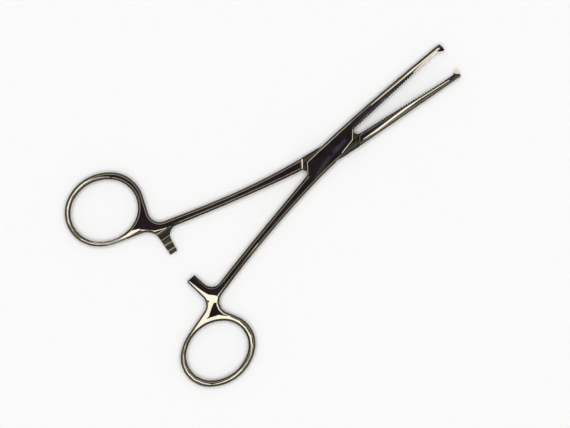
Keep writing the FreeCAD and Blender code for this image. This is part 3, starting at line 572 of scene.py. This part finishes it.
def steel_material(name, node, props):
    """Polished steel with painted shade on its walls and bevels and, on the halves, ground facets
    and rougher recesses with painted shade.
    """
    material = bpy.data.materials.new(name)
    material.use_nodes = True
    nodes = Nodes(material.node_tree)
    shader = material.node_tree.nodes["Principled BSDF"]
    shader.inputs["Metallic"].default_value = 1.0
    coordinates = nodes.add("ShaderNodeTexCoord")
    place = coordinates.outputs["Object"]
    polish = nodes.add("ShaderNodeGroup", node_tree=bpy.data.node_groups["hand_polish"])
    polish.inputs["Waviness"].default_value = props.waviness
    polish.inputs["Roughness"].default_value = props.polish
    nodes.link(place, polish.inputs["Vector"])
    facing = nodes.add("ShaderNodeSeparateXYZ")
    nodes.link(coordinates.outputs["Normal"], facing.inputs["Vector"])
    upright = nodes.math("ABSOLUTE", facing.outputs["Z"])
    # Painted shade: walls and bevels get a darker, greyer colour the further they turn from flat,
    # in place of the dark room they would mirror
    painted_flank_shade = nodes.ramp(upright, (0.0, 0.35), (0.3, 0.45), (0.6, 1.0), (0.86, 1.0), (0.975, 0.85),
                       (0.998, 0.0))
    base, recess_shade = tuple(props.base), tuple(props.painted_recess_shade)
    tint = nodes.ramp(polish.outputs["Cloud"], (0.3, tuple(c * 0.92 for c in base)), (0.7, base))
    rough = polish.outputs["Roughness"]
    lean = polish.outputs["Lean"]
    if FACETS[node]:
        slopes, shade_kept = facet_leans(nodes, place, facing.outputs["Z"], upright, node)
        lean = nodes.vector("ADD", lean, slopes)
        painted_flank_shade = nodes.math("MULTIPLY", painted_flank_shade, shade_kept)
    # Painted shade on walls and bevels, except where facets turn them up
    tint = nodes.blend(painted_flank_shade, tint, tuple(props.painted_flank_shade))
    if RECESSES[node]:
        dull_and_shaded = nodes.math("MULTIPLY", recess_mask(nodes, place, node), shade_kept)
        # Left by the mill: streaks along the instrument, some darker and smoother, over the painted
        # shade of the recesses
        streaks = nodes.noise(place, MILL_STREAKS, 4.0, stretch=(0.05, 1.0, 1.0))
        tone = nodes.ramp(streaks, (0.36, tuple(c * 0.45 for c in recess_shade)), (0.50, recess_shade),
                          (0.66, tuple(c * 2.1 for c in recess_shade)))
        # Painted shade in the recesses
        tint = nodes.blend(dull_and_shaded, tint, tone)
        spread = nodes.math("MULTIPLY", nodes.math("SUBTRACT", streaks, 0.5), 0.5)
        extra = nodes.math("ADD", spread, props.recess_roughness - props.polish)
        rough = nodes.math("ADD", rough, nodes.math("MULTIPLY", dull_and_shaded, extra))
    nodes.link(tint, shader.inputs["Base Color"])
    nodes.link(rough, shader.inputs["Roughness"])
    turned = nodes.add("ShaderNodeVectorTransform", vector_type="VECTOR",
                       convert_from="OBJECT", convert_to="WORLD")
    nodes.link(lean, turned.inputs["Vector"])
    bump = nodes.add("ShaderNodeBump")
    bump.inputs["Distance"].default_value = props.line_depth
    nodes.link(polish.outputs["Lines"], bump.inputs["Height"])
    normal = nodes.vector("ADD", bump.outputs["Normal"], turned.outputs["Vector"])
    nodes.link(nodes.vector("NORMALIZE", normal), shader.inputs["Normal"])
    return material


# Operators

class FORCEPS_OT_stage(bpy.types.Operator):
    """Lay the pale table, hang the soft lights and set the camera."""

    bl_idname = "forceps.stage"
    bl_label = "Set the stage"

    def execute(self, context):
        props = context.scene.forceps_stage
        deselect_all()
        bpy.ops.mesh.primitive_plane_add(size=4.0, location=(0, 0, -0.03 * MM))
        floor = context.object
        floor.name = "table"
        material = bpy.data.materials.new("table_top")
        material.use_nodes = True
        nodes = Nodes(material.node_tree)
        shader = material.node_tree.nodes["Principled BSDF"]
        shader.inputs["Base Color"].default_value = (*props.floor, 1)
        shader.inputs["Roughness"].default_value = 0.8
        shader.inputs["Specular IOR Level"].default_value = 0.1
        floor.data.materials.append(material)
        self.hang_lights()
        self.set_world(context)
        self.set_camera(context, props)
        context.scene.view_settings.view_transform = "Standard"
        return {"FINISHED"}

    def hang_lights(self):
        lamps = (
            # name, azimuth, elevation, distance, width, power, colour
            ("key_panel", 215, 62, 1.2, 0.7, 0.25, (1.0, 0.97, 0.92)),
            ("fill_panel", 35, 60, 1.2, 0.7, 0.20, (1.0, 0.98, 0.95)),
        )
        for name, azimuth, elevation, distance, width, power, colour in lamps:
            az, el = math.radians(azimuth), math.radians(elevation)
            spot = Vector((math.cos(az) * math.cos(el), math.sin(az) * math.cos(el), math.sin(el)))
            bpy.ops.object.light_add(type="AREA", location=spot * distance)
            lamp = bpy.context.object
            lamp.name = name
            lamp.rotation_euler = spot.to_track_quat("Z", "Y").to_euler()
            lamp.data.shape = "DISK"
            lamp.data.size = width
            lamp.data.energy = power
            lamp.data.color = colour

    def set_world(self, context):
        world = bpy.data.worlds.new("studio_air")
        context.scene.world = world
        world.use_nodes = True
        tree = world.node_tree
        tree.nodes.clear()
        nodes = Nodes(tree)
        way = nodes.add("ShaderNodeSeparateXYZ")
        nodes.link(nodes.add("ShaderNodeTexCoord").outputs["Generated"], way.inputs["Vector"])
        # Angle from straight up, as a share of 90 degrees
        down = nodes.math("DIVIDE", nodes.math("ARCCOSINE", way.outputs["Z"]), math.pi / 2)
        # In the steel: a dark ceiling right above, a pale ring of soft light, grey walls
        room = nodes.ramp(down, (0.0, (0.011, 0.008, 0.009)), (0.05, (0.018, 0.011, 0.016)),
                          (0.09, (0.024, 0.022, 0.038)), (0.135, (0.032, 0.026, 0.024)),
                          (0.185, (0.55, 0.50, 0.40)), (0.24, (0.98, 0.93, 0.80)),
                          (0.40, (1.0, 0.95, 0.83)), (0.50, (0.42, 0.39, 0.33)),
                          (0.60, (0.14, 0.132, 0.115)), (0.78, (0.30, 0.295, 0.28)),
                          (1.0, (0.42, 0.42, 0.41)))
        mirror = nodes.add("ShaderNodeBackground")
        mirror.inputs["Strength"].default_value = ROOM_STRENGTH
        nodes.link(room, mirror.inputs["Color"])
        # On the table: most light from above, so the shadow stays close and faint
        soft = nodes.ramp(down, (0.0, 0.002), (0.10, 0.004), (0.14, 1.0), (0.21, 1.0),
                          (0.30, 0.08), (1.0, 0.05))
        plain = nodes.add("ShaderNodeBackground")
        plain.inputs["Strength"].default_value = SOFT_STRENGTH
        nodes.link(soft, plain.inputs["Color"])
        path = nodes.add("ShaderNodeLightPath")
        seen = nodes.add("ShaderNodeBackground")
        seen.inputs["Color"].default_value = (0.97, 0.97, 0.97, 1)
        mix = nodes.add("ShaderNodeMixShader")
        nodes.link(path.outputs["Is Glossy Ray"], mix.inputs["Fac"])
        nodes.link(plain.outputs[0], mix.inputs[1])
        nodes.link(mirror.outputs[0], mix.inputs[2])
        last = nodes.add("ShaderNodeMixShader")
        nodes.link(path.outputs["Is Camera Ray"], last.inputs["Fac"])
        nodes.link(mix.outputs[0], last.inputs[1])
        nodes.link(seen.outputs[0], last.inputs[2])
        nodes.link(last.outputs[0], nodes.add("ShaderNodeOutputWorld").inputs["Surface"])

    def set_camera(self, context, props):
        aim = Vector(props.aim)
        bpy.ops.object.camera_add(location=aim + Vector((0, 0, props.distance)),
                                  rotation=(0, 0, props.turn))
        camera = context.object
        camera.name = "photo_view"
        camera.data.lens = camera.data.sensor_width * props.distance / props.view_width
        camera.data.clip_start = 0.01
        camera.data.clip_end = 10.0
        context.scene.camera = camera


class FORCEPS_OT_halves(bpy.types.Operator):
    """Give both halves softened edges and polished steel."""

    bl_idname = "forceps.halves"
    bl_label = "Finish both halves"

    def execute(self, context):
        props = context.scene.forceps_steel
        for node in ("box_half", "tongue_half"):
            piece = copy_of(node, node + "_polished")
            round_edges(piece, node, props.rounding)
            piece.data.materials.clear()
            piece.data.materials.append(steel_material(node + "_steel", node, props))
            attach(piece, BODY_OF[node])
            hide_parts(node)
        return {"FINISHED"}


class FORCEPS_OT_pin(bpy.types.Operator):
    """Give the hinge pin its steel."""

    bl_idname = "forceps.pin"
    bl_label = "Finish the pin"

    def execute(self, context):
        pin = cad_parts["hinge_pin"]
        material = steel_material("pin_steel", "hinge_pin", context.scene.forceps_steel)
        pin.data.materials.clear()
        pin.data.materials.append(material)
        return {"FINISHED"}


class FORCEPS_PT_panel(bpy.types.Panel):
    """Lists the sizes, the colours and the steps."""

    bl_label = "Artery forceps"
    bl_idname = "FORCEPS_PT_panel"
    bl_space_type = "VIEW_3D"
    bl_region_type = "UI"
    bl_category = "Forceps"

    def draw(self, context):
        layout = self.layout
        for group in (context.scene.forceps_steel, context.scene.forceps_stage):
            for name in group.bl_rna.properties.keys():
                if name not in ("rna_type", "name"):
                    layout.prop(group, name)
        for operator in OPERATORS:
            layout.operator(operator.bl_idname)


OPERATORS = (FORCEPS_OT_stage, FORCEPS_OT_halves, FORCEPS_OT_pin)
CLASSES = (ForcepsSteel, ForcepsStage, *OPERATORS, FORCEPS_PT_panel)


def register():
    for item in CLASSES:
        bpy.utils.register_class(item)
    bpy.types.Scene.forceps_steel = bpy.props.PointerProperty(type=ForcepsSteel)
    bpy.types.Scene.forceps_stage = bpy.props.PointerProperty(type=ForcepsStage)


def unregister():
    del bpy.types.Scene.forceps_stage
    del bpy.types.Scene.forceps_steel
    for item in reversed(CLASSES):
        bpy.utils.unregister_class(item)


def main():
    register()
    hand_polish_group()
    stretch_group()
    bpy.ops.forceps.stage()
    bpy.ops.forceps.halves()
    bpy.ops.forceps.pin()


if __name__ == "__main__":
    main()
